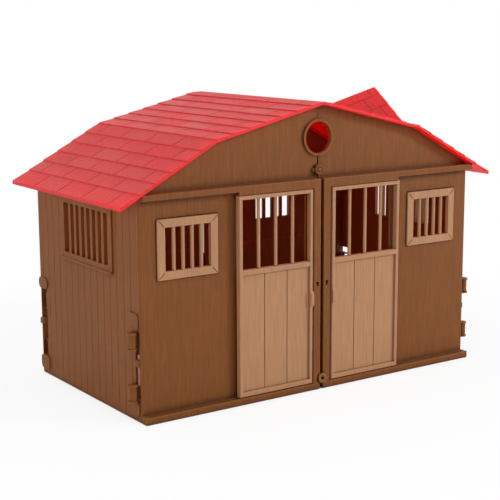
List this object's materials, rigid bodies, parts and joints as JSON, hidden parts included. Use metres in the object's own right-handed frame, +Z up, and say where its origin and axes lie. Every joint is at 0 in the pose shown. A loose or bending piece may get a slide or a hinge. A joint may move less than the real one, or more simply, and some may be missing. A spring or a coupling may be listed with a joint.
{
  "type": "toy barn",
  "caption": "Toy barn that opens at the front on a back hinge, with a shingled gambrel roof, two sliding half-barred doors, barred windows and a roof dormer that lifts.",
  "frame": {"origin": "on the ground, under the middle of the roof's outline", "axes": "+X to the barn's right seen from the front, +Y to the back, +Z up"},
  "size_m": [0.423, 0.217, 0.2743],
  "materials": {
    "brown_plastic": "satin moulded plastic with a fine vertical wood grain",
    "red_plastic": "satin moulded plastic, slightly see-through at thin edges",
    "tan_plastic": "satin moulded plastic with a fine vertical wood grain",
    "steel": "plain drawn wire"
  },
  "bodies": {
    "left_half": {"front_left_wall": "brown_plastic", "left_wall": "brown_plastic", "back_left_wall": "brown_plastic", "left_roof": "red_plastic", "left_window_frame": "tan_plastic", "front_left_corner_pin": "brown_plastic", "back_left_corner_pin": "brown_plastic", "back_hinge_pin": "steel"},
    "right_half": {"front_right_wall": "brown_plastic", "right_wall": "brown_plastic", "back_right_wall": "brown_plastic", "right_roof": "red_plastic", "right_window_frame": "tan_plastic", "front_right_corner_pin": "brown_plastic", "back_right_corner_pin": "brown_plastic", "dormer_gable": "brown_plastic", "dormer_hinge_pin": "steel"},
    "left_door": {"left_door": "tan_plastic"},
    "right_door": {"right_door": "tan_plastic"},
    "dormer_lid": {"dormer_roof": "red_plastic"}
  },
  "joints": [
    {"name": "barn_opening", "type": "hinge", "parent": "left_half", "child": "right_half", "pos_m": [0, 0.1033, 0.05], "axis": [0, 0, 1], "range_deg": [0, 90]},
    {"name": "left_door_slide", "type": "slide", "parent": "left_half", "child": "left_door", "axis": [-1, 0, 0], "range_m": [0, 0.082]},
    {"name": "right_door_slide", "type": "slide", "parent": "right_half", "child": "right_door", "axis": [1, 0, 0], "range_m": [0, 0.0794]},
    {"name": "dormer_lift", "type": "hinge", "parent": "right_half", "child": "dormer_lid", "pos_m": [0.0686, -0.0013, 0.25754], "axis": [0, -1, 0], "range_deg": [0, 70]}
  ]
}
